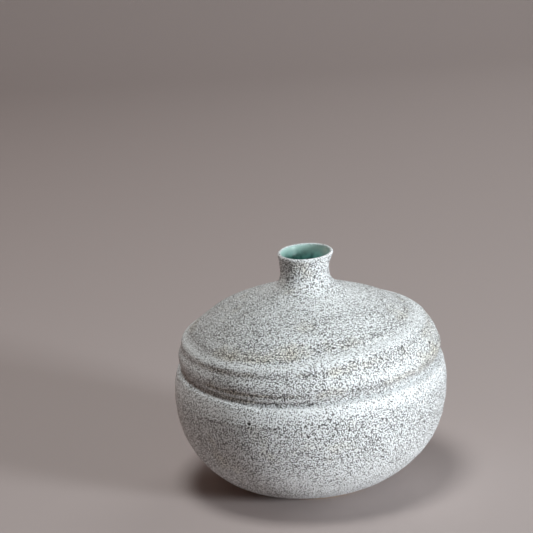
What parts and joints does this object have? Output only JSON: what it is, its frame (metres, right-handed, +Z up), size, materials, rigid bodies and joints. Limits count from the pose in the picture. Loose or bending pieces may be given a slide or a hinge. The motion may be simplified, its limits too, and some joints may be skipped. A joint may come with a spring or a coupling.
{
  "type": "ceramic bud vase",
  "caption": "Squat round stoneware bud vase with a grooved shoulder, a short flared neck, a fine speckled glaze outside and a turquoise glaze inside.",
  "frame": {"origin": "centre of the foot, on the table", "axes": "+Z up along the axis of the vase, out of its mouth; -Y towards the viewer"},
  "size_m": [0.1366, 0.1366, 0.1202],
  "materials": {
    "bare_stoneware": "matte, sandy, bare fired clay",
    "joining_slip": "matte",
    "speckled_glaze": "dry satin with fine dark and pale speckle",
    "turquoise_glaze": "gloss"
  },
  "bodies": {
    "root": {"lower_bowl": "bare_stoneware", "upper_dome": "bare_stoneware", "neck": "bare_stoneware", "shoulder_slip": "joining_slip", "neck_slip": "joining_slip", "outer_glaze": "speckled_glaze", "inner_glaze": "turquoise_glaze"}
  },
  "joints": []
}
